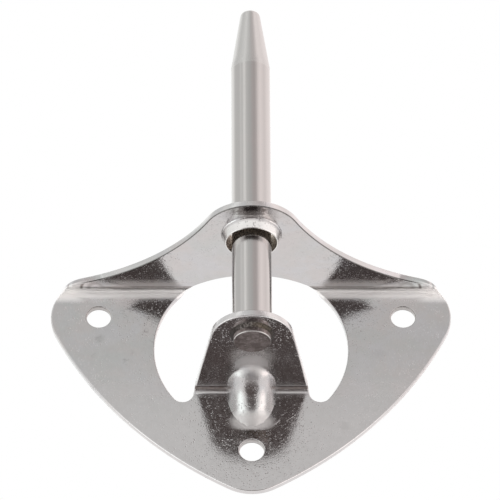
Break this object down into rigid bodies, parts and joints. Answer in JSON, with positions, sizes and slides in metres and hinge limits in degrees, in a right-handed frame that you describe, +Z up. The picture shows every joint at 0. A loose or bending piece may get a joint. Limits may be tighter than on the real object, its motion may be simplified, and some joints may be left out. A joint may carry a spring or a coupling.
{
  "type": "rudder pintle",
  "caption": "Stainless rudder pintle for a transom: folded triangular sheet bracket with an upright tapered pin held by a flange above and a welded lug below.",
  "frame": {"origin": "on the mounting face, midway between the two upper screw holes", "axes": "+X to the right, seen from in front; +Y back into the transom; +Z up, along the pin towards its tip"},
  "size_m": [0.0814, 0.031, 0.1044],
  "materials": {
    "pressed_steel": "tumbled stainless sheet, cloudy grey with fine handling marks",
    "turned_steel": "turned and polished stainless bar, with fine rings",
    "weld_bead": "weld metal with a straw tint from heat"
  },
  "bodies": {
    "root": {"bracket": "pressed_steel", "pin": "turned_steel", "pin_weld": "weld_bead"}
  },
  "joints": []
}
